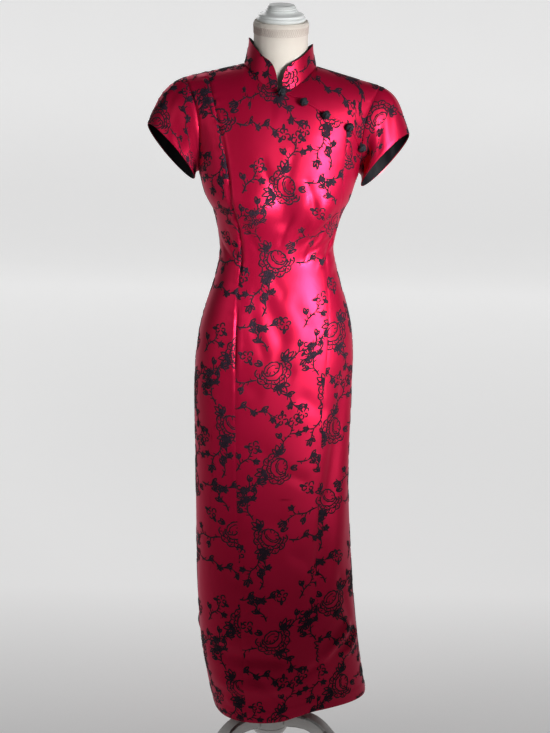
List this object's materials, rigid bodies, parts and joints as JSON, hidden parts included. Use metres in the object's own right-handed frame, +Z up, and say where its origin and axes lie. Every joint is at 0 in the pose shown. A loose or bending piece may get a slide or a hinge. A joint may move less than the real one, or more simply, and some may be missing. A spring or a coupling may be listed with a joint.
{
  "type": "cheongsam dress on a dress form",
  "caption": "Long fitted stand-collar satin dress with a slanting buttoned overlap, cap sleeves and side slits, standing on a cloth covered dress form with a tripod stand.",
  "frame": {"origin": "middle of the footprint's box, on the floor", "axes": "+Z up, the dress faces -Y, +X is the wearer's left"},
  "size_m": [0.5604, 0.5042, 1.6341],
  "materials": {
    "red_satin": "glossy satin brocade",
    "black_lining": "plain lining cloth",
    "black_knot": "knotted cord",
    "form_cover": "stretched jersey",
    "white_paint": "white paint on wood",
    "white_metal": "white enamel"
  },
  "bodies": {
    "root": {"front_centre": "red_satin", "under_panel": "red_satin", "side_front_right": "red_satin", "side_front_left": "red_satin", "back_right": "red_satin", "back_left": "red_satin", "collar": "red_satin", "sleeve_right": "red_satin", "sleeve_left": "red_satin", "collar_lining": "black_lining", "sleeve_lining_right": "black_lining", "sleeve_lining_left": "black_lining", "button_1": "black_knot", "button_2": "black_knot", "button_3": "black_knot", "button_4": "black_knot", "button_5": "black_knot", "form_torso": "form_cover", "form_cap": "white_paint", "form_hub": "white_paint", "form_leg_1": "white_paint", "form_leg_2": "white_paint", "form_leg_3": "white_paint", "form_pole": "white_metal"}
  },
  "joints": []
}
